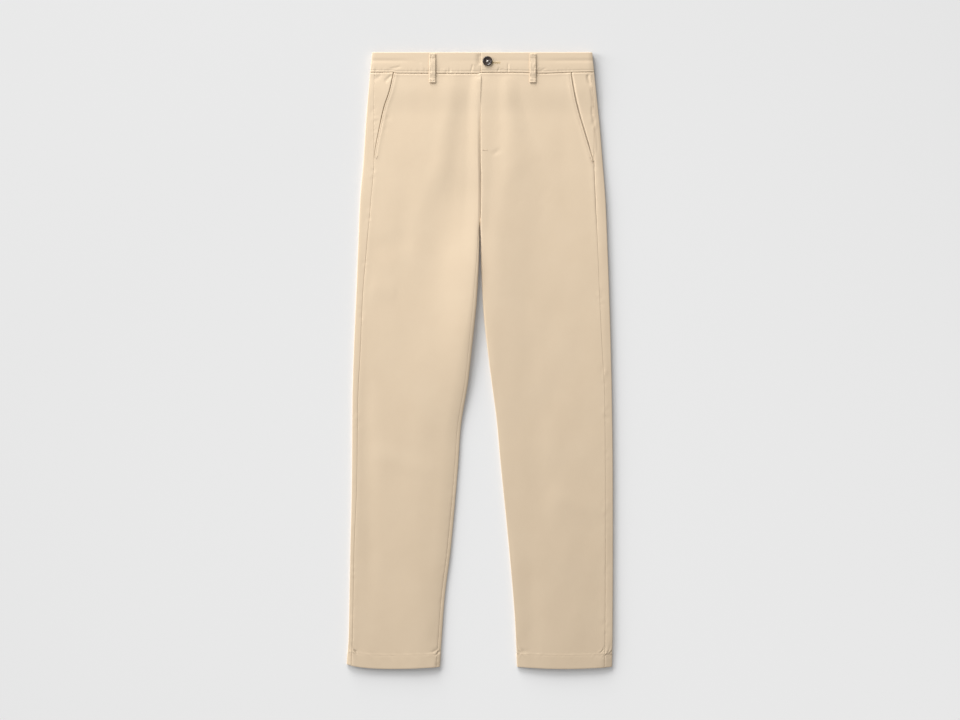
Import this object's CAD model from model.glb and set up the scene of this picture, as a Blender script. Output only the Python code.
# Chino trousers lying flat on their back: cloth, sewing and button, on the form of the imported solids.
# Sizes are in millimetres until a point is placed. Left and right are the wearer's, so +X is left.
import math
from bisect import bisect_right
from collections import namedtuple
from functools import lru_cache

import bmesh
import bpy
from mathutils import Matrix, Vector, noise


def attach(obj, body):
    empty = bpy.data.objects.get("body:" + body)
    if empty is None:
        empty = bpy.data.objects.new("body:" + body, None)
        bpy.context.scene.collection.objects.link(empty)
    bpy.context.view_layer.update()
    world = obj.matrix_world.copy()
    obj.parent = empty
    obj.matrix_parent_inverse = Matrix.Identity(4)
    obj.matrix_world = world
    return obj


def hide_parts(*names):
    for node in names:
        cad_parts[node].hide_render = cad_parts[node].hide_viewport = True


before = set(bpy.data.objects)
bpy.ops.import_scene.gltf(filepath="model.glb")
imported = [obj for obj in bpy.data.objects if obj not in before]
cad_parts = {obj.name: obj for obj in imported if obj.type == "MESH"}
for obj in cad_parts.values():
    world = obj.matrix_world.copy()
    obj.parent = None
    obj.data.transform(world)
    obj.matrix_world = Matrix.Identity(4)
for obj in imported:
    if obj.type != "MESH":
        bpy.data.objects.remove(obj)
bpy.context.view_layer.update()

MM = 0.001

# Main sizes of the trousers
TROUSER_LENGTH = 1074
WAISTBAND_HEIGHT = 36.5
HEM_HEIGHT = 25
HEM_DROP = TROUSER_LENGTH - HEM_HEIGHT
HEM_CORNER_RISE = 3.5
SEAM_GAP = 0.3

# Cloth and the turns that it makes
CLOTH = 0.4
FOLD_RADIUS = 0.42
BAND_THICKNESS = 2.0
LAP_GAP = 0.06
TWILL_LINE = 0.7
BAND_PROUD = 0.35
TURN_DEPTH = 0.7
UNDER_LAP_DEPTH = 1.2

# Fly and crotch, as drops below the top of the waistband, and how far the cloth goes on under a seam
CROTCH_DROP = 278
CROTCH_LEAD = 10
CROTCH_RUN = 40
FLY_BOTTOM_DROP = 203
FLY_LAP_WIDTH = 22
FLY_LAP_SINK = 1.3
SEAM_ALLOWANCE = 8
SEAM_LEAD = 2.4
TURN_UP = 23

# A panel's upper end, from where it is tucked into the waistband: drop from the waist seam, and depth
WAIST_TUCK = ((-3.5, 2.1), (-0.6, 1.9), (0.1, 0.95), (0.6, 0.35), (1.3, 0.08))

# Distances of the stitch lines from the edges that they run along, and from one stitch to the next
BAND_STITCH = 3.6
MOUTH_STITCH = 2.8
HEM_STITCH = 1.9
LOOP_STITCH = 1.8
LOOP_TACK = 3.6
STITCH_PITCH = 3.1

# Belt loops
LOOP_WIDTH = 11
LOOP_LENGTH = 50.5
LOOP_TOP_DROP = 2.5
LOOP_THICKNESS = 1.1
LEFT_LOOP_X = 92.2
RIGHT_LOOP_X = 82.6
BACK_LOOP_X = 105
WAIST_LIFT = 1.6
LIFT_END_DROP = 58
REST_START_DROP = 110

# Waist button and its buttonhole
BUTTON_X = 13.2
BUTTON_DROP = 15.7
BUTTON_RADIUS = 8.5
BUTTON_THICKNESS = 2.6
BUTTON_DISH = 1.0
BUTTON_HOLE_RADIUS = 0.9
BUTTON_HOLE_OFFSET = 1.9
BUTTONHOLE_DROP = 18.6
BUTTONHOLE_END_X = 35.5

# Light, in degrees and metres, and the floor's tones along it
LIGHT_DISTANCE = 3.8
LIGHT_SIZE = 2.2
SKY_STRENGTH = 0.46
FLOOR_AZIMUTH = 38
FLOOR_TONES = ((0.0, 0.98), (1.0, 0.467), (0.25, 0.855), (0.5, 0.726), (0.75, 0.588))


class Table:
    """Rows of named columns. A column is read at any value of the first, on a smooth curve."""

    def __init__(self, names, *rows):
        self.columns = dict(zip(names.split(), zip(*rows)))
        self.key = names.split()[0]

    @lru_cache(maxsize=None)
    def at(self, name, drop):
        drops = self.columns[self.key]
        values = self.columns[name]
        last = len(drops) - 1
        if drop <= drops[0]:
            return values[0]
        if drop >= drops[last]:
            return values[last]

        def slope(k):
            return (values[k + 1] - values[k]) / (drops[k + 1] - drops[k])

        def tangent(k):
            if k == 0:
                return slope(0)
            if k == last:
                return slope(last - 1)
            before, after = slope(k - 1), slope(k)
            return 0.0 if before * after <= 0 else 2 * before * after / (before + after)

        k = bisect_right(drops, drop) - 1
        run = drops[k + 1] - drops[k]
        t = (drop - drops[k]) / run
        t2, t3 = t * t, t * t * t
        return ((2 * t3 - 3 * t2 + 1) * values[k] + (t3 - 2 * t2 + t) * run * tangent(k)
                + (3 * t2 - 2 * t3) * values[k + 1] + (t3 - t2) * run * tangent(k + 1))


# X of the front's centre line, which is also the fly edge, and the gap and the valley along it
CENTRE_LINE = Table(
    "drop x gap valley",
    (0, 2.2, 0.06, 0), (36, 2.2, 0.03, 0), (74, 1.4, 0.03, 0), (91, 1.2, 0.04, 0.1),
    (117, 1.0, 0.08, 0.4), (144, 0.9, 0.12, 0.7), (170, 1.0, 0.2, 1.0), (196, 1.4, 0.2, 1.1),
    (213, 2.2, 0.25, 1.3), (240, 2.1, 0.2, 1.1), (260, 1.8, 0.2, 1.1), (290, 1.2, 0.3, 0.9),
    (320, 0.6, 0.3, 0.7), (360, 0.2, 0.3, 0.5),
)

# Height of the upper face over the underside
CROWN = Table(
    "drop height",
    (0, 6.6), (60, 6.4), (200, 6.0), (330, 5.6), (900, 5.4), (1010, 5.8), (1074, 6.1),
)

# Steps of the front beside the fly. Each is a rise that ends between two distances from the centre line.
LEFT_CENTRE = Table(
    "drop step step_from step_to dip dip_from dip_to crest crest_to",
    (38, 0.4, 42, 66, -0.4, 28, 46, 0.2, 22), (86, 1.5, 47, 75, -0.8, 28, 47, 0.4, 26),
    (135, 2.0, 54, 90, -0.9, 30, 52, 0.6, 26), (184, 2.2, 54, 112, -0.6, 28, 50, 0.7, 24),
    (233, 2.2, 36, 116, -0.2, 26, 44, 0.6, 20), (264, 2.1, 30, 112, 0, 26, 44, 0.5, 18),
    (334, 1.5, 28, 100, 0, 26, 44, 0.3, 14), (430, 0, 28, 90, 0, 26, 44, 0, 14),
)
RIGHT_CENTRE = Table(
    "drop step step_from step_to dip dip_from dip_to crest crest_to",
    (38, 0, 24, 46, 0, 4, 20, 1.3, 20), (86, -0.3, 24, 52, 0, 4, 20, 1.7, 24),
    (135, -0.9, 31, 73, 0, 4, 20, 1.7, 26), (184, -1.2, 35, 83, 0, 4, 20, 1.5, 27),
    (233, -1.5, 40, 94, 0, 4, 20, 1.3, 30), (264, -1.6, 42, 108, 0, 4, 20, 1.2, 32),
    (334, -1.2, 50, 128, 0, 4, 20, 0.7, 34), (430, 0, 60, 136, 0, 4, 20, 0, 34),
)

# Rise of the waist seam over its general line, by X
WAIST_SEAM = Table(
    "x rise",
    (-190, 1.8), (-152, 1.8), (-144, 0.1), (-4, -0.2), (5, 1.4), (60, 1.6), (110, 0), (140, 1), (190, 2.4),
)

# Distances from X = 0 out to the side edge and to the side seam
LEFT_SIDE = Table(
    "drop edge seam",
    (0, 195.8, 190.6), (37, 199.3, 193.5), (83, 204.3, 198.1), (135, 209.6, 199.5), (187, 213.7, 199.1),
    (257, 219.1, 201.6), (344, 222.8, 205.7), (431, 225.9, 209.2), (518, 228.5, 213.4),
    (605, 230.3, 217.9), (745, 231.9, 218.8), (867, 232, 218.8), (1023, 231.2, 218.2), (1074, 230, 217),
)
RIGHT_SIDE = Table(
    "drop edge seam",
    (0, 187.8, 181.5), (37, 191.4, 183.4), (83, 195.6, 184.5), (135, 199.6, 184.8), (187, 202.9, 184.5),
    (257, 208.9, 189.7), (344, 212.5, 197.4), (431, 216, 204.5), (518, 219.8, 208),
    (605, 222.3, 212.3), (745, 223.3, 214.1), (867, 225.9, 219), (1023, 228.9, 221.9), (1074, 232, 224),
)

# Distances from X = 0 out to the inner edge of each leg
LEFT_INNER = Table(
    "drop inner",
    (278, 0.4), (330, 1.2), (361, 1.8), (388, 2.8), (431, 4.8), (466, 7.4), (510, 12.4), (570, 19.9),
    (640, 29.1), (710, 35.5), (884, 52.6), (988, 61), (1074, 65),
)
RIGHT_INNER = Table(
    "drop inner",
    (278, -0.3), (330, 0.9), (361, 1.6), (388, 2.7), (431, 5.2), (466, 8.5), (510, 13.2), (570, 19.9),
    (657, 33.8), (710, 37.3), (866, 51), (953, 61.7), (1074, 70),
)

# Slanted pocket mouths, down to their lower end on the side seam, and how deep and wide they gape
LEFT_MOUTH = Table(
    "drop mouth sag reach",
    (36, 158.3, 1.8, 3), (57, 161.3, 2.6, 4.5), (80, 165.7, 2.8, 4.5), (109, 173, 2.8, 4.5),
    (138, 181.7, 2.8, 4), (195, 199, 2.2, 3),
)
RIGHT_MOUTH = Table(
    "drop mouth sag reach",
    (36, 149.3, 1.6, 2.4), (67, 156.6, 1.9, 2.4), (97, 166.7, 1.9, 2.2), (129, 174, 1.5, 1.8),
    (160, 180.5, 1.1, 1.2), (186, 184.5, 0.9, 0.9),
)

# Fall of the cloth from its crown to the folded side and inner edges, and how far in it begins
LEFT_FALL = Table(
    "drop side side_reach inner inner_reach",
    (0, 0.8, 7, 0.4, 9), (50, 1.2, 12, 0.4, 9), (110, 1.6, 14, 0.4, 9), (180, 1.4, 13, 0.4, 9),
    (260, 0.4, 9, 0.8, 16), (345, 0.2, 6, 1.7, 36), (400, 0.2, 6, 1.2, 30), (466, 0.2, 6, 0.4, 18),
    (620, 0.2, 6, 0.3, 14), (1015, 0.3, 6, 0.3, 14), (1074, 2.4, 28, 2.4, 30),
)
RIGHT_FALL = Table(
    "drop side side_reach inner inner_reach",
    (0, 0.4, 6, 0.7, 9), (50, 0.2, 6, 0.7, 9), (260, 0.2, 6, 0.8, 10), (345, 0.2, 6, 0.9, 9),
    (430, 0.2, 6, 1.3, 11), (560, 0.2, 6, 1.8, 24), (700, 0.3, 7, 2.0, 30), (1015, 0.4, 8, 2.0, 30),
    (1074, 2.4, 14, 1.8, 14),
)

# Depth of the side seam's groove, and the gap in it
LEFT_GROOVE = Table(
    "drop depth gap",
    (36, 0, 0.04), (110, 0, 0.04), (165, 0.1, 0.1), (195, 0.3, 0.25), (260, 0.35, 0.25), (320, 0.15, 0.15),
    (365, 0, 0.01), (800, 0, 0.01), (860, 0.08, 0.1), (1074, 0.15, 0.15),
)
RIGHT_GROOVE = Table(
    "drop depth gap",
    (36, 0, 0.04), (160, 0, 0.05), (230, 0.08, 0.15), (380, 0.12, 0.2), (560, 0.1, 0.18), (700, 0.06, 0.12),
    (900, 0.1, 0.18), (1074, 0.12, 0.2),
)

# Folds run between two places, each a distance from X = 0 and a drop. bow bends one sideways.
# A trough's rise is below zero.
Fold = namedtuple("Fold", "from_x from_drop to_x to_drop bow width rise")
LEFT_FOLDS = (
    Fold(70, 330, 112, 900, 0, 26, -0.6),
    Fold(112, 210, 128, 700, 0, 30, -0.5),
    Fold(112, 770, 226, 805, 0, 20, 0.4),
    Fold(130, 740, 150, 1300, 0, 42, 0.6),
    Fold(150, 60, 158, 300, 6, 16, -0.3),
    Fold(220, 160, 230, 1080, 0, 30, 0.4),
    Fold(88, 820, 92, 1300, 0, 15, -0.4),
    Fold(188, 39, 196, 58, 3, 2.2, -1.3),
    Fold(193, 38, 203, 56, 2, 1.6, 1.0),
    Fold(192, 62, 197, 92, -2, 2.2, -0.7),
    Fold(196, 90, 201, 130, 2, 2.2, -0.7),
    Fold(200, 126, 205, 180, -2, 2.4, -0.6),
    Fold(20, 179, 37, 168, 0, 1.8, -0.8),
)
RIGHT_FOLDS = (
    Fold(44, 0, 70, 250, 0, 17, 0.8),
    Fold(194, 350, 112, 318, 0, 20, -0.45),
    Fold(196, 410, 140, 418, 0, 20, 0.35),
    Fold(200, 520, 190, 980, 0, 16, -0.8),
    Fold(66, 735, 214, 690, 0, 18, 0.35),
    Fold(92, 400, 112, 1300, 0, 36, 0.7),
    Fold(120, 150, 128, 420, -6, 18, -0.2),
    Fold(84, 800, 92, 1300, 0, 14, -0.3),
    Fold(152, 40, 167, 53, 0, 2.4, -0.7),
    Fold(170, 38, 192, 50, 3, 2.4, -0.35),
    Fold(165, 114, 153, 113, 0, 1.8, -0.5),
    Fold(168, 135, 160, 134, 0, 1.6, -0.45),
)
# Small creases in the waistband, by X itself
BAND_FOLDS = (
    Fold(-1.2, 2, -1.2, 24, 0, 3.2, -0.8),
    Fold(-15.5, 35, -12, 20, 0, 1.6, -0.45),
    Fold(-8.2, 35, -6, 20, 0, 1.4, -0.5),
    Fold(-3.2, 36, -2.4, 28, 0, 1.0, -0.4),
    Fold(31, 36, 34, 27, 0, 1.5, -0.35),
    Fold(35, 31, 43, 30.5, 0, 1.0, -0.25),
    Fold(49, 18, 49.3, 38, 0, 1.2, -0.4),
    Fold(52, 18, 52, 38, 0, 1.3, 0.2),
    Fold(96, 32, 104, 24, 0, 1.5, 0.35),
    Fold(104, 33, 116, 27, 0, 1.4, -0.35),
    Fold(-96, 30, -104, 18, 0, 1.6, 0.3),
    Fold(-136, 24, -158, 31, 0, 2.0, -0.4),
)


class Leg:
    """One half of the trousers, measured outwards from X = 0."""

    def __init__(self, side, outline, inside, pocket, falls, grooves, middle, folds, turn_end,
                 inseam_inset, corner_rise, bulk, bulk_reach, crotch_turn, loop_x, seed):
        self.side = side
        self.outline = outline
        self.inside = inside
        self.pocket = pocket
        self.falls = falls
        self.grooves = grooves
        self.middle = middle
        self.folds = folds
        self.turn_end = turn_end
        self.inseam_inset = inseam_inset
        self.corner_rise = corner_rise
        self.bulk = bulk
        self.bulk_reach = bulk_reach
        self.crotch_turn = crotch_turn
        self.loop_x = loop_x
        self.seed = seed
        self.mouth_end = pocket.columns["drop"][-1]

    def edge(self, drop):
        return self.outline.at("edge", drop)

    def seam(self, drop):
        return self.outline.at("seam", drop)

    def inner(self, drop):
        return self.inside.at("inner", drop)

    def mouth(self, drop):
        return self.pocket.at("mouth", drop)

    def centre(self, drop):
        return self.side * CENTRE_LINE.at("x", drop)

    def front_outside(self, drop):
        return self.mouth(drop) if drop < self.mouth_end else self.seam(drop)

    @lru_cache(maxsize=None)
    def inner_depth(self, drop):
        """How far in from the inner edge its rounded turn reaches."""
        near_crotch = ease(drop, CROTCH_DROP - 20, 370) * (1 - ease(drop, 430, 560))
        return mix(TURN_DEPTH, self.crotch_turn, near_crotch)

    @lru_cache(maxsize=None)
    def inseam_lead(self, drop):
        """Distance from the inner edge's turn to the inseam, which leaves the edge below the crotch."""
        return mix(0.5, self.inseam_inset, ease(drop, CROTCH_DROP + 10, 430))

    def inseam(self, drop):
        return self.inner(drop) + self.inner_depth(drop) + self.inseam_lead(drop)


# bulk is how far the cloth stands up beside the slit between the legs
LEFT = Leg(1, LEFT_SIDE, LEFT_INNER, LEFT_MOUTH, LEFT_FALL, LEFT_GROOVE, LEFT_CENTRE, LEFT_FOLDS,
           turn_end=-10, inseam_inset=0, corner_rise=0, bulk=1.5, bulk_reach=90,
           crotch_turn=4.5, loop_x=LEFT_LOOP_X, seed=3.1)
RIGHT = Leg(-1, RIGHT_SIDE, RIGHT_INNER, RIGHT_MOUTH, RIGHT_FALL, RIGHT_GROOVE, RIGHT_CENTRE, RIGHT_FOLDS,
            turn_end=90, inseam_inset=5.0, corner_rise=4.5, bulk=6.5, bulk_reach=52,
            crotch_turn=1.2, loop_x=RIGHT_LOOP_X, seed=17.7)
LEGS = (("left", LEFT), ("right", RIGHT))


def mix(low, high, t):
    return low + (high - low) * t


def ease(value, low, high):
    t = min(1.0, max(0.0, (value - low) / (high - low)))
    return t * t * (3 - 2 * t)


def bump(value, middle, width):
    return math.exp(-(((value - middle) / width) ** 2))


def steps(start, end, count):
    return [mix(start, end, k / count) for k in range(count + 1)]


def grain(x, y, seed):
    """Smooth unevenness between -1 and 1."""
    return noise.noise(Vector((x, y, seed)))


@lru_cache(maxsize=None)
def tube_share(drop):
    """0 above the crotch, where the halves meet on the centre line, and 1 where each leg is a tube."""
    return ease(drop, CROTCH_DROP - CROTCH_LEAD, CROTCH_DROP + CROTCH_RUN)


@lru_cache(maxsize=None)
def underside(drop):
    """The back belt loops lift the waist a little off the surface."""
    return WAIST_LIFT * (1 - ease(drop, LIFT_END_DROP, REST_START_DROP))


def fold_rise(fold, across, drop):
    run_x = fold.to_x - fold.from_x
    run_drop = fold.to_drop - fold.from_drop
    length = math.hypot(run_x, run_drop)
    off_x = across - fold.from_x
    off_drop = drop - fold.from_drop
    t = (off_x * run_x + off_drop * run_drop) / length**2
    if t <= 0 or t >= 1:
        return 0.0
    aside = (off_x * run_drop - off_drop * run_x) / length + fold.bow * 4 * t * (1 - t)
    if abs(aside) > 3.2 * fold.width:
        return 0.0
    fade = ease(t, 0, 0.25) * (1 - ease(t, 0.75, 1))
    return fold.rise * fade * math.exp(-((aside / fold.width) ** 2))


def edge_fall(leg, across, drop):
    """How much lower than the crown the cloth is, near its folded edges."""
    from_side = max(0.0, leg.edge(drop) - TURN_DEPTH - across)
    side_share = max(0.0, 1 - from_side / leg.falls.at("side_reach", drop))
    fall = leg.falls.at("side", drop) * side_share**2
    tube = tube_share(drop)
    if tube > 0:
        from_inner = max(0.0, across - leg.inner(drop) - leg.inner_depth(drop))
        inner_share = max(0.0, 1 - from_inner / leg.falls.at("inner_reach", drop))
        fall += tube * leg.falls.at("inner", drop) * inner_share**2
    return fall


def fold_share(leg, across, drop):
    """Folds die out at the side and inner edges."""
    side = ease(leg.edge(drop) - across, 1, 12)
    tube = tube_share(drop)
    return side * mix(1.0, ease(across - leg.inner(drop), 2, 9), tube) if tube > 0 else side


@lru_cache(maxsize=None)
def bulk_share(drop):
    return ease(drop, 230, 390) * (1 - ease(drop, 450, 690))


@lru_cache(maxsize=None)
def inseam_share(drop):
    """The right leg's inseam is pressed shut above the knee and shows more and more below it."""
    return 0.1 + 0.9 * ease(drop, 620, 860)


def form_height(leg, across, drop):
    """Upper face of the trousers with their main folds."""
    folds = sum(fold_rise(fold, across, drop) for fold in leg.folds)
    soft = 0.28 * grain(across / 38, drop / 66, leg.seed) + 0.04 * grain(across / 11, drop / 15, leg.seed)
    on_panel = ease(drop, WAISTBAND_HEIGHT - 8, WAISTBAND_HEIGHT + 6)
    lift = fold_share(leg, across, drop) * (folds * mix(0.25, 1, on_panel) + soft * mix(0.4, 1, on_panel))
    from_inner = max(0.0, across - leg.inner(drop) - leg.inner_depth(drop))
    bulk = leg.bulk * bulk_share(drop) * bump(from_inner, 0, leg.bulk_reach)
    return underside(drop) + CROWN.at("height", drop) - edge_fall(leg, across, drop) + lift + bulk


def puckers(along, aside, reach, amount, seed):
    """Small uneven gathers across a seam, stronger in some stretches than in others."""
    patch = max(0.0, 0.3 + 1.6 * grain(along / 34, 0, seed))
    return amount * patch * grain(along / 3.4, aside / 12, seed + 5) * math.exp(-((aside / reach) ** 2))


def hem_relief(leg, across, drop):
    if drop < HEM_DROP - 16:
        return 0.0
    below = drop - HEM_DROP
    share = (across - leg.inner(drop)) / (leg.edge(drop) - leg.inner(drop))
    patch = 0.55 + 0.9 * grain(across / 17, 2, leg.seed)
    doubled = 0.2 * ease(below, -1.2, 0.9)
    stitched = -0.22 * patch * bump(below, HEM_STITCH, 1.0) + 0.06 * bump(below, -0.4, 1.1)
    roped = 0.35 * grain((across + 0.7 * below) / 4.2, 3, leg.seed) * bump(below, 2.5, 6)
    inner_corner = grain((across - 0.8 * below) / 3.6, below / 9, leg.seed) * bump(share, 0.03, 0.1)
    side_corner = grain((across + 0.8 * below) / 3.4, below / 8, leg.seed + 4) * bump(share, 0.96, 0.09)
    corners = (1.2 * inner_corner + 1.5 * side_corner) * bump(below, -3, 8)
    return doubled + stitched + roped + corners


def fly_relief(leg, from_centre, drop):
    """Steps of the front beside the fly, and a valley along the fly edge and the crotch seam."""
    if drop > 430 or from_centre > 140:
        return 0.0
    values = {name: leg.middle.at(name, drop) for name in leg.middle.columns}
    relief = values["step"] * (1 - ease(from_centre, values["step_from"], values["step_to"]))
    relief += values["dip"] * (1 - ease(from_centre, values["dip_from"], values["dip_to"]))
    relief += values["crest"] * (1 - ease(from_centre, 2, values["crest_to"]))
    valley = CENTRE_LINE.at("valley", drop) * (1 - ease(drop, 330, 400))
    reach = mix(1.7, 5.2, leg is RIGHT)
    depth = mix(0.25, 1.0, leg is RIGHT)
    relief *= ease(drop, WAISTBAND_HEIGHT, WAISTBAND_HEIGHT + 14)
    return relief - depth * valley * (1 - ease(from_centre, 0.2, reach))


def waist_welt(drop):
    """The seam allowances under the waist seam show as a slight welt below it."""
    below_band = drop - WAISTBAND_HEIGHT
    return 0.16 * bump(below_band, 3, 1.8) if below_band < 12 else 0.0


def front_height(leg, across, drop):
    """Upper face of a front panel."""
    aside = leg.front_outside(drop) - across
    at_mouth = 1 - ease(drop, leg.mouth_end - 6, leg.mouth_end + 2)
    welt = mix(0.1 * seam_openness(leg, drop), 0.3, at_mouth) * (1 - ease(aside, 5, 10))
    topstitch = -0.16 * at_mouth * bump(aside, MOUTH_STITCH, 0.7)
    groove = -(1 - at_mouth) * leg.grooves.at("depth", drop) * bump(aside, 0, 1.5)
    seam = puckers(drop, aside, 5, mix(0.8, 0.7, at_mouth), leg.seed)
    below_band = drop - WAISTBAND_HEIGHT
    waist_puckers = puckers(across, below_band, 6, 0.7, leg.seed + 11) if below_band < 20 else 0.0
    from_centre = across - leg.centre(drop)
    centre = fly_relief(leg, from_centre, drop)
    if drop < CROTCH_DROP + 20:
        centre += puckers(drop, from_centre, 4, 0.3, leg.seed + 23)
    inseam = 0.0
    if leg is RIGHT:
        off = across - leg.inseam(drop)
        inseam = inseam_share(drop) * (-0.15 * bump(off, 0, 1.5) + puckers(drop, off, 6, 0.7, leg.seed + 29))
    return (form_height(leg, across, drop) + welt + topstitch + groove + seam + waist_welt(drop)
            + waist_puckers + centre + inseam + hem_relief(leg, across, drop))


def back_strip_height(leg, across, drop):
    """Upper face of the back panel's strip between the side seam and the side edge."""
    aside = across - leg.seam(drop)
    return (form_height(leg, across, drop) - leg.grooves.at("depth", drop) * bump(aside, 0, 1.5)
            + puckers(drop, -aside, 6, 0.9, leg.seed) + waist_welt(drop) + hem_relief(leg, across, drop))


def facing_height(leg, across, drop):
    """Upper face of the strip between the pocket mouth and the side seam."""
    seam = leg.seam(drop)
    mouth = leg.mouth(drop)
    width = max(2.0, seam - mouth)
    reach = min(leg.pocket.at("reach", drop), 0.7 * width)
    sag = leg.pocket.at("sag", drop) * (1 - ease(across - mouth, 0.3, max(0.9, reach)))
    puff = 0.5 * ease(width, 8, 30) * bump(across - mouth, 0, 16)
    side = puckers(drop, seam - across, 6, 0.9, leg.seed)
    side -= leg.grooves.at("depth", drop) * bump(seam - across, 0, 1.5)
    return form_height(leg, across, drop) - sag + puff + waist_welt(drop) + side


def band_height(leg, across, drop):
    """Upper face of the waistband."""
    x = leg.side * across
    creases = sum(fold_rise(fold, x, drop) for fold in BAND_FOLDS)
    plain = bump(x, -82, 52)
    trough = -(0.18 * (1 - plain) + 0.22 * ease(across, 110, 150)) * bump(drop, 14.6, 3.3)
    topstitch = -0.36 * bump(drop, WAISTBAND_HEIGHT - BAND_STITCH, 0.8)
    ripple = puckers(across, WAISTBAND_HEIGHT - 4 - drop, 5, 0.6, leg.seed + 31)
    swell = 0.15 * bump(drop, 28, 8) + 0.032 * (WAISTBAND_HEIGHT - drop)
    loops = sum(bump(x, loop_x, 8) for loop_x in (LEFT_LOOP_X, -RIGHT_LOOP_X))
    slot = 0.0
    if BUTTON_X + 6 < x < BUTTONHOLE_END_X:
        slot = -0.7 * bump(drop, BUTTONHOLE_DROP, 0.5)
    return (form_height(leg, across, drop) + BAND_PROUD + creases + trough + topstitch + ripple + swell
            - 0.15 * loops + slot)


def under_height(leg, across, drop):
    """Lower face of the trousers. It never goes below the surface that they lie on."""
    unevenness = 0.5 + 0.5 * grain(across / 30, drop / 70, leg.seed + 41)
    edge_fade = ease(leg.edge(drop) - across, 4, 16)
    return underside(drop) + 0.35 * unevenness**2 * edge_fade


def place(leg, across, drop, height):
    """A point of the trousers. Hem corners lie a little higher up than the middle of the hem."""
    x = leg.side * across
    rise = 0.0
    if drop > HEM_DROP - 2 * HEM_HEIGHT:
        inner = leg.inner(drop)
        from_middle = 2 * (across - inner) / (leg.edge(drop) - inner) - 1
        bow = HEM_CORNER_RISE * from_middle**2 + leg.corner_rise * max(0.0, from_middle) ** 4
        rise = bow * ease(drop, HEM_DROP - 2 * HEM_HEIGHT, TROUSER_LENGTH)
    elif drop < 3 * WAISTBAND_HEIGHT:
        rise = WAIST_SEAM.at("rise", x) * bump(drop, WAISTBAND_HEIGHT, 15)
    return Vector((x, TROUSER_LENGTH / 2 - drop + rise, height)) * MM


def side_turn(leg, angle, drop, depth, height_at):
    """Section point on the turn of the cloth round the side, at an angle up from level."""
    across = leg.edge(drop) - TURN_DEPTH
    low = underside(drop)
    half = (height_at(leg, across, drop) - low) / 2
    turned = across + (TURN_DEPTH - depth) * math.cos(math.radians(angle))
    return turned, low + half + (half - depth) * math.sin(math.radians(angle))


def inner_turn(leg, angle, drop):
    """The same round the inner leg."""
    low = underside(drop)
    reach = leg.inner_depth(drop)
    across = leg.inner(drop) + reach
    half = (front_height(leg, across, drop) - low) / 2
    turned = across - reach * math.cos(math.radians(angle))
    return turned, low + half + half * math.sin(math.radians(angle))


def top_point(leg, across, drop, depth, height_at):
    return across, height_at(leg, across, drop) - depth


def mixed(flat, turned, share):
    return mix(flat[0], turned[0], share), mix(flat[1], turned[1], share)


FOLD_ANGLES = (180, 150, 120, 90, 60, 30, 0)


def fold_run(edge, inward, allowance, openness=1.0):
    """Across and depth of the columns of a turned-under edge, from its raw end out to the face.
    inward is 1 where the cloth lies on the greater side of the edge, and -1 where on the lesser.
    openness is near 0 where the seam is pressed so flat that it hardly shows."""
    reach = FOLD_RADIUS * mix(0.12, 1, openness)
    centre = edge + inward * reach
    run = [(centre + inward * allowance, 2 * FOLD_RADIUS)]
    for angle in FOLD_ANGLES:
        radians = math.radians(angle)
        across = centre - inward * reach * math.sin(radians)
        run.append((across, FOLD_RADIUS * (1 - math.cos(radians))))
    return run


def under_run(edge, outward, allowance, openness, lead=SEAM_LEAD):
    """Across and depth of the columns of a raw edge that goes on under its neighbour."""
    profile = ((lead, 0.0), (0.42 * lead, 0.01 * openness), (0.15 * lead, 0.06 * openness),
               (0.025 * lead, 0.22 * openness), (0.0, 0.75), (-0.4, UNDER_LAP_DEPTH),
               (-allowance / 2, UNDER_LAP_DEPTH), (-allowance, UNDER_LAP_DEPTH))
    return [(edge + outward * along, depth) for along, depth in profile]


def lap_height(leg, across, drop):
    """Upper face of the right front's fly lap: it keeps under the left front that lies over it."""
    own = front_height(leg, across, drop)
    beyond = leg.centre(drop) - across
    if beyond <= 0:
        return own
    over = front_height(LEFT, max(-across, LEFT.centre(drop) + 1), drop)
    return mix(own, min(own, over) + UNDER_LAP_DEPTH - FLY_LAP_SINK, ease(beyond, 0, 1))


def seam_openness(leg, drop):
    return min(1.0, leg.grooves.at("gap", drop) / 0.25)


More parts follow.
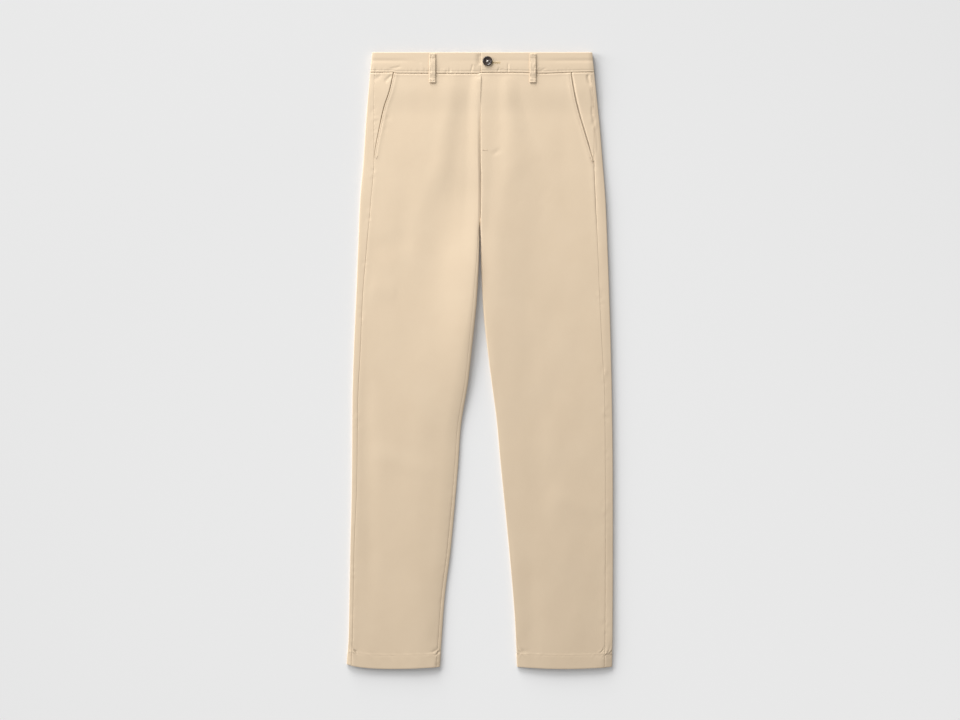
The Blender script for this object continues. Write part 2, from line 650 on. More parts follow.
def front_section(leg, drop):
    """Section points of a front panel from the pocket mouth or side seam to the fly or inseam."""
    outside = leg.front_outside(drop) - leg.grooves.at("gap", drop) / 2
    openness = mix(seam_openness(leg, drop), 1, 1 - ease(drop, leg.mouth_end - 6, leg.mouth_end))
    tube = tube_share(drop)
    centre = leg.centre(drop)
    points = [top_point(leg, a, drop, d, front_height) for a, d in fold_run(outside, -1, 9, openness)]
    if leg is LEFT:
        fly_openness = ease(drop, 70, 130)
        flat_run = reversed(fold_run(centre + CENTRE_LINE.at("gap", drop), 1, SEAM_ALLOWANCE, fly_openness))
        flat = [top_point(leg, a, drop, d, front_height) for a, d in flat_run]
        turned = [inner_turn(leg, angle, drop) for angle in steps(90, leg.turn_end, 7)]
    else:
        lap = mix(FLY_LAP_WIDTH, SEAM_ALLOWANCE, ease(drop, FLY_BOTTOM_DROP - 12, FLY_BOTTOM_DROP))
        flat_run = under_run(centre, 1, lap, ease(drop, 70, 130))
        flat = [top_point(leg, a, drop, d, lap_height) for a, d in flat_run]
        turned_run = reversed(fold_run(leg.inseam(drop), 1, SEAM_ALLOWANCE, inseam_share(drop)))
        turned = [top_point(leg, a, drop, d, front_height) for a, d in turned_run]
    ending = [mixed(f, t, tube) for f, t in zip(flat, turned)]
    start = outside - FOLD_RADIUS
    end = ending[0][0]
    from_start = [start - 0.7 * k for k in range(1, 10)]
    to_end = [end + 0.9 * k for k in range(9, 0, -1)]
    across_values = from_start + steps(from_start[-1] - 1.2, to_end[0] + 1.2, 50) + to_end
    points += [top_point(leg, a, drop, 0, front_height) for a in across_values]
    return points + ending


def back_section(leg, drop):
    """Section points of a back panel: side seam on top, side, underside, centre seam or inseam."""
    tube = tube_share(drop)
    seam = leg.seam(drop) + leg.grooves.at("gap", drop) / 2
    edge = leg.edge(drop) - TURN_DEPTH
    lapped = reversed(under_run(seam, 1, SEAM_ALLOWANCE, seam_openness(leg, drop)))
    points = [top_point(leg, a, drop, d, back_strip_height) for a, d in lapped]
    strip_start = points[-1][0]
    points += [top_point(leg, a, drop, 0, back_strip_height) for a in steps(strip_start, edge, 9)[1:-1]]
    points += [side_turn(leg, angle, drop, 0, back_strip_height) for angle in steps(90, -90, 12)]
    centre = leg.centre(drop) + SEAM_GAP / 2
    low_end = mix(centre + TURN_DEPTH, leg.inner(drop) + leg.inner_depth(drop), tube)
    points += [(a, under_height(leg, a, drop)) for a in steps(edge, low_end, 34)[1:-1]]
    turned = [inner_turn(leg, angle, drop) for angle in steps(-90, leg.turn_end, 9)]
    if leg is RIGHT:
        lead = min(SEAM_LEAD, leg.inseam_lead(drop))
        inseam_run = under_run(leg.inseam(drop), -1, SEAM_ALLOWANCE, inseam_share(drop), lead)
        turned += [top_point(leg, a, drop, d, front_height) for a, d in inseam_run]
    count = len(turned)
    flat = []
    for k in range(count):
        across = centre + TURN_DEPTH * (1 - k / (count - 1))
        flat.append((across, underside(drop) + 0.9 * ease(k / (count - 1), 0.7, 1)))
    return points + [mixed(f, t, tube) for f, t in zip(flat, turned)]


def waist_rows():
    """Drop and depth of the rows at the waist seam of a panel or facing."""
    rows = [(WAISTBAND_HEIGHT + along, depth) for along, depth in WAIST_TUCK]
    return rows + [(drop, 0) for drop in steps(WAISTBAND_HEIGHT + 2.4, WAISTBAND_HEIGHT + 9.6, 7)]


def panel_rows():
    """Drop and depth of a panel's rows, from under the waistband to the turned-up raw edge."""
    rows = waist_rows()
    rows += [(drop, 0) for drop in steps(WAISTBAND_HEIGHT + 12.5, HEM_DROP - 8, 258)]
    rows += [(drop, 0) for drop in steps(HEM_DROP - 6.5, HEM_DROP + 5.5, 12)]
    edge = TROUSER_LENGTH - FOLD_RADIUS
    rows += [(drop, 0) for drop in steps(HEM_DROP + 8, edge - 2, 6)]
    for angle in reversed(FOLD_ANGLES):
        radians = math.radians(angle)
        rows.append((edge + FOLD_RADIUS * math.sin(radians), FOLD_RADIUS * (1 - math.cos(radians))))
    rows += [(drop, 2 * FOLD_RADIUS) for drop in steps(edge - 3, TROUSER_LENGTH - TURN_UP, 4)]
    return rows


def cloth_mesh(name, grid, flip):
    """Mesh object from rows of points, made on a grid, with the cloth's own distances as its UV map."""
    row_count, column_count = len(grid), len(grid[0])
    build = bmesh.new()
    bmesh.ops.create_grid(build, x_segments=column_count - 1, y_segments=row_count - 1, size=0.5)
    spots = {}
    for vert in build.verts:
        column = round((vert.co.x + 0.5) * (column_count - 1))
        row = round((vert.co.y + 0.5) * (row_count - 1))
        spots[vert] = (row, column)
    middle = column_count // 2
    lengths = [0.0]
    for row in range(1, row_count):
        lengths.append(lengths[-1] + (grid[row][middle] - grid[row - 1][middle]).length)
    girths = []
    for row in range(row_count):
        girth = [0.0]
        for column in range(1, column_count):
            girth.append(girth[-1] + (grid[row][column] - grid[row][column - 1]).length)
        girths.append([value - girth[middle] for value in girth])
    for vert, (row, column) in spots.items():
        vert.co = grid[row][column]
    layer = build.loops.layers.uv.new("cloth")
    for face in build.faces:
        face.smooth = True
        for loop in face.loops:
            row, column = spots[loop.vert]
            loop[layer].uv = (girths[row][column], lengths[row])
    if flip:
        bmesh.ops.reverse_faces(build, faces=build.faces)
    return mesh_object(name, build)


def mesh_object(name, build):
    mesh = bpy.data.meshes.new(name)
    build.to_mesh(mesh)
    build.free()
    piece = bpy.data.objects.new(name, mesh)
    bpy.context.scene.collection.objects.link(piece)
    return piece


def give_thickness(piece, thickness):
    wall = piece.modifiers.new("wall", "SOLIDIFY")
    wall.thickness = thickness * MM
    wall.offset = -1
    wall.use_even_offset = False
    return piece


def dress(piece, finish, slot, *nodes):
    """Finish of a piece, the solids that it stands for, and the body that it rides on."""
    piece.data.materials.append(finish)
    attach(piece, "root")
    if nodes:
        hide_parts(*nodes)
    return piece


# Materials


def new_material(name, roughness):
    material = bpy.data.materials.new(name)
    material.use_nodes = True
    nodes = material.node_tree.nodes
    shader = nodes["Principled BSDF"]
    shader.inputs["Roughness"].default_value = roughness
    return material, nodes, material.node_tree.links, shader


def new_noise(nodes, links, vector, scale, detail, distortion=0.0):
    node = nodes.new("ShaderNodeTexNoise")
    node.inputs["Scale"].default_value = scale
    node.inputs["Detail"].default_value = detail
    node.inputs["Distortion"].default_value = distortion
    links.new(vector, node.inputs["Vector"])
    return node.outputs["Fac"]


def colour_between(nodes, links, value, shader, *stops):
    """Colours the shader by a value. Each stop is a position and its colour."""
    ramp = nodes.new("ShaderNodeValToRGB")
    for element, (position, colour) in zip(ramp.color_ramp.elements, stops):
        element.position = position
        element.color = (*colour, 1)
    for position, colour in stops[2:]:
        element = ramp.color_ramp.elements.new(position)
        element.color = (*colour, 1)
    links.new(value, ramp.inputs["Fac"])
    links.new(ramp.outputs["Color"], shader.inputs["Base Color"])


def new_relief(nodes, links, value, strength, distance):
    """Fine relief that follows a value, to a depth in millimetres."""
    node = nodes.new("ShaderNodeBump")
    node.inputs["Strength"].default_value = strength
    node.inputs["Distance"].default_value = distance * MM
    links.new(value, node.inputs["Height"])
    return node


def scaled(nodes, links, value, factor):
    node = nodes.new("ShaderNodeMath")
    node.operation = "MULTIPLY"
    node.inputs[1].default_value = factor
    links.new(value, node.inputs[0])
    return node.outputs[0]


def make_twill(name, light, dark):
    """Fine cotton twill: close diagonal lines, uneven yarns and a soft nap."""
    material, nodes, links, shader = new_material(name, 0.88)
    shader.inputs["Specular IOR Level"].default_value = 0.25
    shader.inputs["Sheen Weight"].default_value = 0.12
    shader.inputs["Sheen Roughness"].default_value = 0.5
    shader.inputs["Sheen Tint"].default_value = (1.0, 0.93, 0.84, 1)
    cloth = nodes.new("ShaderNodeUVMap")
    cloth.uv_map = "cloth"

    diagonal = nodes.new("ShaderNodeMapping")
    diagonal.inputs["Rotation"].default_value = (0, 0, math.radians(63))
    links.new(cloth.outputs["UV"], diagonal.inputs["Vector"])
    lines = nodes.new("ShaderNodeTexWave")
    lines.inputs["Scale"].default_value = 2 * math.pi / (20 * TWILL_LINE * MM)
    lines.inputs["Distortion"].default_value = 0.7
    lines.inputs["Detail"].default_value = 2
    lines.inputs["Detail Scale"].default_value = 3
    links.new(diagonal.outputs["Vector"], lines.inputs["Vector"])

    yarns = new_noise(nodes, links, cloth.outputs["UV"], 900, 3)
    patches = new_noise(nodes, links, cloth.outputs["UV"], 14, 4)
    blend = nodes.new("ShaderNodeMath")
    blend.operation = "MULTIPLY_ADD"
    blend.inputs[1].default_value = 0.55
    links.new(yarns, blend.inputs[0])
    links.new(scaled(nodes, links, patches, 0.45), blend.inputs[2])
    colour_between(nodes, links, blend.outputs[0], shader, (0.25, dark), (0.75, light))

    weave = new_relief(nodes, links, lines.outputs["Fac"], 0.35, 0.06)
    nap = new_relief(nodes, links, yarns, 0.25, 0.05)
    links.new(weave.outputs["Normal"], nap.inputs["Normal"])
    links.new(nap.outputs["Normal"], shader.inputs["Normal"])
    return material


def make_thread(name, light, dark):
    """Twisted sewing thread."""
    material, nodes, links, shader = new_material(name, 0.6)
    shader.inputs["Sheen Weight"].default_value = 0.1
    spot = nodes.new("ShaderNodeTexCoord")
    ply = new_noise(nodes, links, spot.outputs["Object"], 1500, 2)
    colour_between(nodes, links, ply, shader, (0.35, dark), (0.65, light))
    twist = new_relief(nodes, links, ply, 0.4, 0.05)
    links.new(twist.outputs["Normal"], shader.inputs["Normal"])
    return material


def make_button_finish():
    """Dark brown, softly polished plastic with the cloudy streaks of horn."""
    material, nodes, links, shader = new_material("dark_button", 0.3)
    shader.inputs["Coat Weight"].default_value = 0.1
    shader.inputs["Coat Roughness"].default_value = 0.15
    spot = nodes.new("ShaderNodeTexCoord")
    streaks = new_noise(nodes, links, spot.outputs["Object"], 260, 3, 1.2)
    colour_between(nodes, links, streaks, shader,
                   (0.35, (0.017, 0.010, 0.007)), (0.7, (0.050, 0.031, 0.024)))
    wear = new_relief(nodes, links, streaks, 0.15, 0.1)
    links.new(wear.outputs["Normal"], shader.inputs["Normal"])
    return material


TWILL = make_twill("beige_twill", (0.662, 0.533, 0.386), (0.617, 0.487, 0.345))
THREAD = make_thread("beige_thread", (0.69, 0.56, 0.41), (0.57, 0.45, 0.32))
BUTTONHOLE_THREAD = make_thread("buttonhole_thread", (0.74, 0.60, 0.35), (0.60, 0.45, 0.25))
BUTTON_THREAD = make_thread("button_thread", (0.90, 0.86, 0.81), (0.76, 0.69, 0.62))
BUTTON_FINISH = make_button_finish()

# Panels


def panel_grid(leg, section):
    """Rows of points of a panel. A row's depth sinks it under the face of the cloth."""
    grid = []
    for drop, depth in panel_rows():
        row = []
        points = section(leg, drop)
        middle = underside(drop) + CROWN.at("height", drop) / 3
        for across, height in points:
            toward = -1 if height > middle else 1
            row.append(place(leg, across, drop, height + toward * depth))
        grid.append(row)
    return grid


def make_panels():
    pieces = {}
    for word, leg in LEGS:
        front = cloth_mesh(f"front_{word}_cloth", panel_grid(leg, front_section), leg is RIGHT)
        back = cloth_mesh(f"back_{word}_cloth", panel_grid(leg, back_section), leg is LEFT)
        for part, piece in (("front", front), ("back", back)):
            give_thickness(piece, CLOTH)
            dress(piece, TWILL, "twill", f"{part}_{word}")
            pieces[f"{part}_{word}"] = piece
    return pieces


def make_facing(word, leg):
    """Strip of cloth behind the slanted pocket mouth."""
    low_rows = [(drop, 0) for drop in steps(WAISTBAND_HEIGHT + 12, leg.mouth_end - 4, 56)]
    grid = []
    for drop, depth in waist_rows() + low_rows:
        seam = leg.seam(drop) - leg.grooves.at("gap", drop) / 2
        run = fold_run(seam, -1, 5)
        outside = run[-1][0]
        mouth = min(leg.mouth(drop), outside - 0.5)
        brink = min(3.2, 0.7 * (outside - mouth))
        across_values = steps(outside, mouth + brink, 20)[1:] + steps(mouth + brink, mouth - 1, 12)[1:]
        across_values += steps(mouth - 1, mouth - 10, 4)[1:]
        points = [top_point(leg, a, drop, d, facing_height) for a, d in run]
        points += [top_point(leg, a, drop, 0, facing_height) for a in across_values]
        grid.append([place(leg, a, drop, h - depth) for a, h in points])
    piece = cloth_mesh(f"pocket_facing_{word}_cloth", grid, leg is RIGHT)
    give_thickness(piece, CLOTH)
    return dress(piece, TWILL, "twill", f"pocket_facing_{word}")


def band_rows():
    """Drop and depth round the waistband's thickness: outer face, top edge, inner face, bottom edge."""
    half = BAND_THICKNESS / 2
    rows = [(drop, 0) for drop in steps(WAISTBAND_HEIGHT - half, half, 34)]
    rows += [(half - half * math.sin(math.radians(a)), half * (1 - math.cos(math.radians(a))))
             for a in (22, 45, 67, 90, 113, 135, 158)]
    rows += [(drop, BAND_THICKNESS) for drop in steps(half, WAISTBAND_HEIGHT - half, 8)]
    low = WAISTBAND_HEIGHT - half
    rows += [(low + half * math.sin(math.radians(a)), half * (1 - math.cos(math.radians(a))))
             for a in (158, 135, 113, 90, 67, 45, 22)]
    return rows


# The waistband at the centre front: distance from the start of its face, and depth under it. The right
# half goes on under the left one, and the left one has a rounded end.
BAND_UNDER_LAP = ((-42, 2.3), (-20, 2.3), (-2, 2.3), (-0.3, 2.2), (0.0, 1.9), (0.04, 0.8), (0.4, 0.66),
                  (2, 0.54), (4, 0.4), (6, 0.25), (9, 0.09), (12, 0.01))
BAND_END = ((0.0, 0.9), (0.06, 0.4), (0.2, 0.15), (0.6, 0.03))


def make_band(word, leg):
    """Half of the waistband: doubled cloth with rounded edges, from centre front to centre back."""
    grid = []
    for drop, depth in band_rows():
        start = leg.centre(drop) + LAP_GAP / 2
        edge = leg.edge(drop) - TURN_DEPTH
        points = []
        if leg is RIGHT:
            points += [top_point(leg, start + a, drop, d + depth, band_height) for a, d in BAND_UNDER_LAP]
            first = start + 13
        else:
            points += [top_point(leg, start + a, drop, min(d + depth, BAND_THICKNESS), band_height)
                       for a, d in BAND_END]
            first = start + 1.3
        fine = steps(first, first + 48, 60)
        coarse = steps(first + 48, edge, 90)[1:]
        points += [top_point(leg, a, drop, depth, band_height) for a in fine + coarse]
        points += [side_turn(leg, angle, drop, depth, band_height) for angle in steps(90, -90, 14)[1:]]
        points += [(a, underside(drop) + depth) for a in steps(edge, SEAM_GAP / 2, 60)[1:]]
        grid.append([place(leg, a, drop, h) for a, h in points])
    grid.append(grid[0])
    piece = cloth_mesh(f"waistband_{word}_cloth", grid, leg is LEFT)
    close_band(piece)
    return dress(piece, TWILL, "twill", f"waistband_{word}")


def close_band(piece):
    """Joins the last row of the waistband to its first, and fills its two ends."""
    build = bmesh.new()
    build.from_mesh(piece.data)
    bmesh.ops.remove_doubles(build, verts=build.verts, dist=0.005 * MM)
    open_edges = [edge for edge in build.edges if edge.is_boundary]
    bmesh.ops.holes_fill(build, edges=open_edges, sides=0)
    bmesh.ops.recalc_face_normals(build, faces=build.faces)
    build.to_mesh(piece.data)
    build.free()


def make_front_loop(word, leg):
    """Belt loop on the front: a folded strip, tacked down at both ends and slightly proud between."""
    grid = []
    half = LOOP_WIDTH / 2
    edge_rounding = ((0.0, 0.75), (0.25, 0.3), (0.7, 0.08), (1.3, 0.0))
    offsets = [-half + a for a, _ in edge_rounding] + steps(-half + 2, half - 2, 8)
    offsets += [half - a for a, _ in reversed(edge_rounding)]
    depths = [d for _, d in edge_rounding] + [0.0] * 9 + [d for _, d in reversed(edge_rounding)]
    ends = [(0.0, 0.8), (0.2, 0.4), (0.6, 0.1), *((run, 0.0) for run in (1.2, 2.0, 2.8, 3.6, 4.4, 5.4))]
    middle = [(run, 0.0) for run in steps(6.6, LOOP_LENGTH - 6.6, 30)]
    for run, sunk in ends + middle + [(LOOP_LENGTH - r, s) for r, s in reversed(ends)]:
        drop = LOOP_TOP_DROP + run
        row = []
        for off, depth in zip(offsets, depths):
            wrinkle = 0.3 * grain(off / 3, drop / 6, leg.seed + 60)
            stitched = -0.16 * (bump(off, LOOP_STITCH - half, 0.6) + bump(off, half - LOOP_STITCH, 0.6))
            height = loop_top(leg, leg.loop_x + off, drop) + wrinkle + stitched - max(depth, sunk)
            row.append(place(leg, leg.loop_x + off, drop, height))
        grid.append(row)
    piece = cloth_mesh(f"belt_loop_front_{word}_cloth", grid, leg is LEFT)
    give_thickness(piece, LOOP_THICKNESS)
    return dress(piece, TWILL, "twill", f"belt_loop_front_{word}")


def loop_top(leg, across, drop):
    """Upper face of a front loop along its middle."""
    from_end = min(drop - LOOP_TOP_DROP, LOOP_TOP_DROP + LOOP_LENGTH - drop)
    arch = 0.9 * ease(from_end, 4, 20)
    folded_end = 0.55 * (1 - ease(from_end, 5.5, 7))
    tack = -0.4 * bump(from_end, LOOP_TACK, 1.0)
    return loop_seat(leg, across, drop) + SEAM_GAP + LOOP_THICKNESS + arch + folded_end + tack


def loop_seat(leg, across, drop):
    """Height of what a front loop lies on: the waistband, then the panel below it."""
    if drop < WAISTBAND_HEIGHT:
        return band_height(leg, across, drop)
    step = ease(drop, WAISTBAND_HEIGHT, WAISTBAND_HEIGHT + 6)
    return form_height(leg, across, drop) + mix(BAND_PROUD, 0.15, step)


def make_back_loop(word, x):
    """Belt loop under the back of the waist, pressed flat by the trousers' weight."""
    grid = []
    half = LOOP_WIDTH / 2
    for run in steps(0, LOOP_LENGTH, 26):
        drop = LOOP_TOP_DROP + run
        round_end = 0.2 * ease(abs(run - LOOP_LENGTH / 2), 24, 25.2)
        row = []
        for off in steps(-half, half, 8):
            round_side = 0.25 * ease(abs(off), half - 1.2, half)
            row.append(place(LEFT, x + off, drop, round_side + round_end))
        grid.append(row)
    piece = cloth_mesh(f"belt_loop_back_{word}_cloth", grid, False)
    give_thickness(piece, LOOP_THICKNESS)
    return dress(piece, TWILL, "twill", f"belt_loop_back_{word}")


# Sewing


def stitch_shape(length, width, height):
    """One stitch: a small spindle of thread lying along X."""
    build = bmesh.new()
    bmesh.ops.create_uvsphere(build, u_segments=6, v_segments=4, radius=0.5)
    turn = Matrix.Rotation(math.radians(90), 4, "Y")
    size = Matrix.Diagonal((length * MM, width * MM, height * MM, 1))
    bmesh.ops.transform(build, matrix=size @ turn, verts=build.verts)
    for face in build.faces:
        face.smooth = True
    mesh = bpy.data.meshes.new("stitch")
    build.to_mesh(mesh)
    build.free()
    return mesh


def lay_stitches(build, shape, seats):
    """Copies of a stitch on seats, each a point and the direction that the stitch runs in."""
    for point, run in seats:
        forward = run.normalized()
        side = Vector((0, 0, 1)).cross(forward).normalized()
        up = forward.cross(side)
        turn = Matrix((forward, side, up)).transposed().to_4x4()
        first = len(build.verts)
        build.from_mesh(shape)
        build.verts.ensure_lookup_table()
        bmesh.ops.transform(build, matrix=Matrix.Translation(point) @ turn, verts=build.verts[first:])


def row_of_stitches(path, pitch):
    """Seats at an even pitch along a path of points, sunk a little into the cloth."""
    sunk = Vector((0, 0, 0.02 * MM))
    seats = []
    travelled = 0.0
    due = pitch / 2
    for start, end in zip(path, path[1:]):
        length = (end - start).length / MM
        while due <= travelled + length:
            point = start.lerp(end, (due - travelled) / length) - sunk
            seats.append((point, end - start))
            due += pitch
        travelled += length
    return seats


def bartack(leg, across, drop, height_at, width, length, angle, count):
    """Seats of a bar tack: short close stitches side by side. It runs across the trousers at angle 0."""
    seats = []
    turn = math.radians(angle)
    for k in range(count):
        along = mix(-length / 2, length / 2, k / (count - 1))
        run_x, run_drop = math.cos(turn) * along, math.sin(turn) * along
        place_x, place_drop = across + run_x, drop + run_drop
        step_x, step_drop = -math.sin(turn) * width / 2, math.cos(turn) * width / 2
        low = place(leg, place_x - step_x, place_drop - step_drop, height_at(leg, place_x, place_drop) + 0.1)
        high = place(leg, place_x + step_x, place_drop + step_drop, height_at(leg, place_x, place_drop) + 0.1)
        seats.append(((low + high) / 2, high - low))
    return seats


def waistband_line(leg):
    """Path of the topstitching above the waist seam."""
    line = WAISTBAND_HEIGHT - BAND_STITCH
    start = leg.centre(line) + (1.5 if leg is LEFT else 3)
    return [place(leg, a, line, band_height(leg, a, line))
            for a in steps(start, leg.edge(line) - TURN_DEPTH, 120)]


def mouth_line(leg):
    """Path of the topstitching along a pocket mouth."""
    path = []
    for drop in steps(WAISTBAND_HEIGHT + 2, leg.mouth_end - 3, 60):
        across = leg.mouth(drop) - MOUTH_STITCH
        path.append(place(leg, across, drop, front_height(leg, across, drop)))
    return path


def hem_line(leg):
    """Path of the stitching at the top of the hem."""
    line = HEM_DROP + HEM_STITCH
    return [place(leg, a, line, front_height(leg, a, line))
            for a in steps(leg.inner(line) + TURN_DEPTH, leg.edge(line) - TURN_DEPTH, 80)]


def loop_line(leg, across):
    """Path of the stitching along one edge of a front loop."""
    return [place(leg, across, d, loop_top(leg, across, d))
            for d in steps(LOOP_TOP_DROP + 5, LOOP_TOP_DROP + LOOP_LENGTH - 5, 30)]


def mouth_tack(leg):
    """Bar tack at the lower end of a pocket mouth. The left one is longer."""
    slant = 62 if leg is LEFT else 70
    length = 13 if leg is LEFT else 5
    across = leg.mouth(leg.mouth_end) - 5
    drop = leg.mouth_end - length / 2 - 1
    return bartack(leg, across, drop, front_height, 2.2, length, slant, length + 4)


def make_stitching():
    """All the thread that shows on the cloth, in one joined mesh."""
    build = bmesh.new()
    seam_stitch = stitch_shape(2.3, 0.42, 0.3)
    tack_stitch = stitch_shape(2.2, 0.5, 0.34)
    for word, leg in LEGS:
        for path in (waistband_line(leg), mouth_line(leg), hem_line(leg)):
            lay_stitches(build, seam_stitch, row_of_stitches(path, STITCH_PITCH))
        lay_stitches(build, tack_stitch, mouth_tack(leg))
        for run in (LOOP_TACK, LOOP_LENGTH - LOOP_TACK):
            tack = bartack(leg, leg.loop_x, LOOP_TOP_DROP + run, loop_top, 2.0, 9, 0, 16)
            lay_stitches(build, tack_stitch, tack)
        for off in (LOOP_STITCH - LOOP_WIDTH / 2, LOOP_WIDTH / 2 - LOOP_STITCH):
            lay_stitches(build, seam_stitch, row_of_stitches(loop_line(leg, leg.loop_x + off), 3.4))
    fly_tack = bartack(LEFT, 8.5, 170, front_height, 1.6, 9, 4, 14)
    lay_stitches(build, tack_stitch, fly_tack)
    dress(mesh_object("stitching", build), THREAD, "twill")


def make_buttonhole():
    """Worked buttonhole: two rows of close stitches along the slot, and a tack at its end."""
    build = bmesh.new()
    shape = stitch_shape(1.5, 0.5, 0.4)
    seats = []
    for row in (-1, 1):
        for x in steps(BUTTON_X + 6, BUTTONHOLE_END_X - 1, 26):
            drop = BUTTONHOLE_DROP + row * 0.95
            height = band_height(LEFT, x, drop) + 0.1
            point = place(LEFT, x, drop, height)
            seats.append((point, place(LEFT, x + 0.2, drop + 1, height) - point))
    eye = (BUTTON_X + 9.2, BUTTONHOLE_DROP - 0.4)
    for angle in steps(0, 2 * math.pi, 22)[1:]:
        x, drop = eye[0] + 2.0 * math.cos(angle), eye[1] + 2.0 * math.sin(angle)
        height = band_height(LEFT, x, drop) + 0.25
        point = place(LEFT, x, drop, height)
        seats.append((point, place(LEFT, x + math.cos(angle), drop + math.sin(angle), height) - point))
    seats += bartack(LEFT, BUTTONHOLE_END_X - 0.5, BUTTONHOLE_DROP, band_height, 1.2, 2.6, 90, 6)
    lay_stitches(build, shape, seats)
    dress(mesh_object("buttonhole_stitching", build), BUTTONHOLE_THREAD, "twill")


def turn_button():
    """Round button with a raised rim and a dished middle, turned about its own axis."""
    rim_top = BUTTON_THICKNESS
    dish = BUTTON_THICKNESS - BUTTON_DISH
    radius = BUTTON_RADIUS
    profile = ((0.02, 0), (radius - 1.8, 0), (radius - 0.9, 0.25), (radius - 0.3, 0.7), (radius, 1.3),
               (radius - 0.15, 1.8), (radius - 0.55, 2.3), (radius - 1.1, rim_top),
               (radius - 1.6, rim_top - 0.05), (radius - 2.2, rim_top - 0.35), (radius - 2.8, dish + 0.2),
               (radius - 3.6, dish), (0.02, dish - 0.15))
    build = bmesh.new()
    verts = [build.verts.new((r * MM, 0, z * MM)) for r, z in profile]
    edges = [build.edges.new(pair) for pair in zip(verts, verts[1:])]
    bmesh.ops.spin(build, geom=verts + edges, cent=(0, 0, 0), axis=(0, 0, 1), angle=2 * math.pi, steps=56,
                   use_merge=True)
    bmesh.ops.remove_doubles(build, verts=build.verts, dist=0.03 * MM)
    bmesh.ops.recalc_face_normals(build, faces=build.faces)
    for face in build.faces:
        face.smooth = True
    return mesh_object("waist_button", build)


def drill_button(button):
    """Four thread holes through the button."""
    drills = bmesh.new()
    for x in (-BUTTON_HOLE_OFFSET, BUTTON_HOLE_OFFSET):
        for y in (-BUTTON_HOLE_OFFSET, BUTTON_HOLE_OFFSET):
            centre = Matrix.Translation((x * MM, y * MM, 0))
            bmesh.ops.create_cone(drills, cap_ends=True, segments=16, radius1=BUTTON_HOLE_RADIUS * MM,
                                  radius2=BUTTON_HOLE_RADIUS * MM, depth=12 * MM, matrix=centre)
    cutter = mesh_object("drills", drills)
    cut = button.modifiers.new("holes", "BOOLEAN")
    cut.operation = "DIFFERENCE"
    cut.object = cutter
    cut.solver = "EXACT"
    depsgraph = bpy.context.evaluated_depsgraph_get()
    drilled = bpy.data.meshes.new_from_object(button.evaluated_get(depsgraph))
    button.modifiers.clear()
    button.data = drilled
    bpy.data.objects.remove(cutter)


def make_button_thread(spot):
    """Two crossed pairs of thread over the holes."""
    thread = bmesh.new()
    strand = stitch_shape(4.8, 1.2, 0.9)
    seats = []
    for layer, turn in enumerate((45, 41, -45, -49)):
        angle = math.radians(turn)
        lift = Vector((0, 0, BUTTON_THICKNESS - BUTTON_DISH + 0.2 + 0.15 * layer)) * MM
        seats.append((spot + lift, Vector((math.cos(angle), math.sin(angle), 0))))
    lay_stitches(thread, strand, seats)
    dress(mesh_object("button_thread", thread), BUTTON_THREAD, "twill")


def make_button():
    """Button on the left half of the waistband, sewn on with thread."""
    button = turn_button()
    drill_button(button)
    seat = band_height(LEFT, BUTTON_X, BUTTON_DROP + 5) + SEAM_GAP
    spot = place(LEFT, BUTTON_X, BUTTON_DROP, seat)
    button.data.transform(Matrix.Translation(spot))
    dress(button, BUTTON_FINISH, "button", "button")
    make_button_thread(spot)


# Building the trousers

panels = make_panels()
facings = {word: make_facing(word, leg) for word, leg in LEGS}
bands = {word: make_band(word, leg) for word, leg in LEGS}
front_loops = {word: make_front_loop(word, leg) for word, leg in LEGS}
back_loops = [make_back_loop("left", BACK_LOOP_X), make_back_loop("centre", 0),
              make_back_loop("right", -BACK_LOOP_X)]
make_stitching()
make_buttonhole()
make_button()

# Floor, light and camera


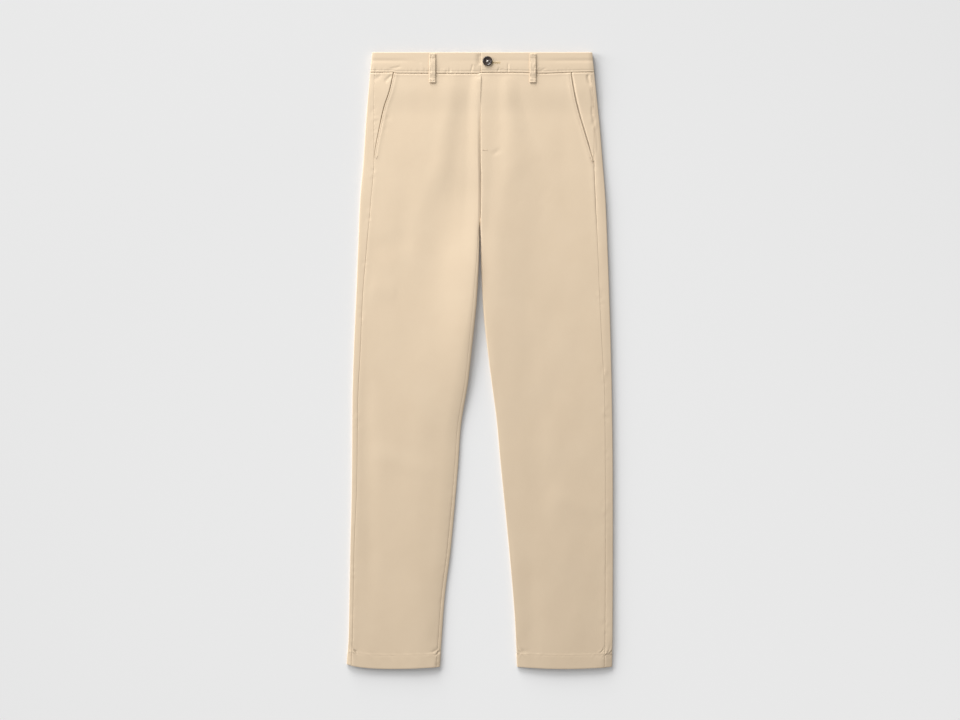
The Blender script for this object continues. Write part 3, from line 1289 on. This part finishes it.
def make_floor_finish():
    """Pale board, a little deeper in tone towards the lights, so that it looks even."""
    material, nodes, links, shader = new_material("pale_floor", 0.95)
    shader.inputs["Specular IOR Level"].default_value = 0.1
    spot = nodes.new("ShaderNodeTexCoord")
    turn = nodes.new("ShaderNodeMapping")
    turn.vector_type = "TEXTURE"
    bearing = math.radians(FLOOR_AZIMUTH)
    turn.inputs["Location"].default_value = (math.sin(bearing), -math.cos(bearing), 0)
    turn.inputs["Rotation"].default_value = (0, 0, math.radians(90 + FLOOR_AZIMUTH))
    turn.inputs["Scale"].default_value = (2, 2, 2)
    links.new(spot.outputs["Object"], turn.inputs["Vector"])
    blend = nodes.new("ShaderNodeTexGradient")
    links.new(turn.outputs["Vector"], blend.inputs["Vector"])
    stops = [(position, (tone, tone, tone)) for position, tone in FLOOR_TONES]
    colour_between(nodes, links, blend.outputs["Fac"], shader, *stops)
    return material


floor_build = bmesh.new()
bmesh.ops.create_grid(floor_build, x_segments=1, y_segments=1, size=6)
floor = mesh_object("floor", floor_build)
floor.data.materials.append(make_floor_finish())


def soft_light(name, azimuth, elevation, power):
    """Round soft light that faces the trousers. azimuth is from +Y towards -X."""
    turn, rise = math.radians(azimuth), math.radians(elevation)
    spot = Vector((-math.sin(turn) * math.cos(rise), math.cos(turn) * math.cos(rise), math.sin(rise)))
    spot *= LIGHT_DISTANCE
    data = bpy.data.lights.new(name, "AREA")
    data.shape = "DISK"
    data.size = LIGHT_SIZE
    data.energy = power
    lamp = bpy.data.objects.new(name, data)
    lamp.location = spot
    lamp.rotation_euler = (-spot).to_track_quat("-Z", "Y").to_euler()
    bpy.context.scene.collection.objects.link(lamp)


soft_light("top", azimuth=20, elevation=18, power=203)
soft_light("side", azimuth=68, elevation=19, power=123)

world = bpy.data.worlds.new("studio")
world.use_nodes = True
world.node_tree.nodes["Background"].inputs["Color"].default_value = (1, 1, 1, 1)
world.node_tree.nodes["Background"].inputs["Strength"].default_value = SKY_STRENGTH
bpy.context.scene.world = world
bpy.context.scene.view_settings.view_transform = "Standard"

# The picture is 960 pixels wide and shows 1.742 mm in each at the height of the cloth's upper face.
# The camera stands over the middle of the photo, a little off the middle of the trousers.
PIXEL = 1.742
FRAME_WIDTH = 960
LENS = 85
SENSOR = 36
CLOTH_LEVEL = 6
CAMERA_X = 0.2
CAMERA_Y = 1.3
camera_data = bpy.data.cameras.new("camera")
camera_data.lens = LENS
camera_data.sensor_width = SENSOR
camera = bpy.data.objects.new("camera", camera_data)
distance = FRAME_WIDTH * PIXEL * MM * LENS / SENSOR
camera.location = (CAMERA_X * MM, CAMERA_Y * MM, distance + CLOTH_LEVEL * MM)
bpy.context.scene.collection.objects.link(camera)
bpy.context.scene.camera = camera
